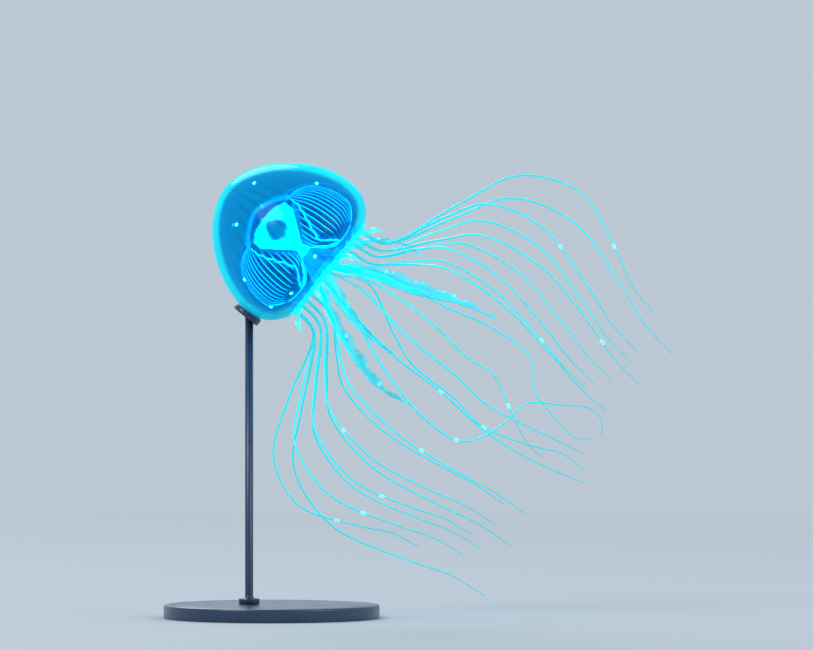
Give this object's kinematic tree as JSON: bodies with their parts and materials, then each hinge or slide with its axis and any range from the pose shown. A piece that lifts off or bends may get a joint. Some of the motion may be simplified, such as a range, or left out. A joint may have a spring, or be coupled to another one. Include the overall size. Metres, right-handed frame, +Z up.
{
  "type": "jellyfish",
  "caption": "Sea nettle jellyfish in mid swim, with a translucent bell, frilled oral arms and long trailing tentacles, as a still model on a display stand.",
  "frame": {"origin": "centre of the display stand's underside", "axes": "+Z up, away from the surface the stand rests on; +X the way the mouth and tentacles trail; the bell's axis lies in the XZ plane, tipped 51 degrees from upright"},
  "size_m": [0.3419, 0.2106, 0.3033],
  "materials": {
    "jelly": "clear wet jelly with a cyan tint",
    "organ": "wet, softly glowing cyan",
    "frill": "wet translucent frill",
    "thread": "wet translucent thread",
    "stand": "satin"
  },
  "bodies": {
    "root": {"bell": "jelly", "stomach": "organ", "gonad_1": "organ", "gonad_2": "organ", "gonad_3": "organ", "gonad_4": "organ", "oral_arm_1": "frill", "oral_arm_2": "frill", "oral_arm_3": "frill", "oral_arm_4": "frill", "tentacle_01_a": "thread", "tentacle_01_b": "thread", "tentacle_02_a": "thread", "tentacle_02_b": "thread", "tentacle_03_a": "thread", "tentacle_03_b": "thread", "tentacle_04_a": "thread", "tentacle_04_b": "thread", "tentacle_05_a": "thread", "tentacle_05_b": "thread", "tentacle_06_a": "thread", "tentacle_06_b": "thread", "tentacle_07_a": "thread", "tentacle_07_b": "thread", "tentacle_08_a": "thread", "tentacle_08_b": "thread", "tentacle_09_a": "thread", "tentacle_09_b": "thread", "tentacle_10_a": "thread", "tentacle_10_b": "thread", "tentacle_11_a": "thread", "tentacle_11_b": "thread", "tentacle_12_a": "thread", "tentacle_12_b": "thread", "tentacle_13_a": "thread", "tentacle_13_b": "thread", "tentacle_14_a": "thread", "tentacle_14_b": "thread", "tentacle_15_a": "thread", "tentacle_15_b": "thread", "tentacle_16_a": "thread", "tentacle_16_b": "thread", "tentacle_17_a": "thread", "tentacle_17_b": "thread", "tentacle_18_a": "thread", "tentacle_18_b": "thread", "tentacle_19_a": "thread", "tentacle_19_b": "thread", "tentacle_20_a": "thread", "tentacle_20_b": "thread", "tentacle_21_a": "thread", "tentacle_21_b": "thread", "tentacle_22_a": "thread", "tentacle_22_b": "thread", "tentacle_23_a": "thread", "tentacle_23_b": "thread", "tentacle_24_a": "thread", "tentacle_24_b": "thread", "stand_base": "stand", "stand_rod": "stand"}
  },
  "joints": []
}
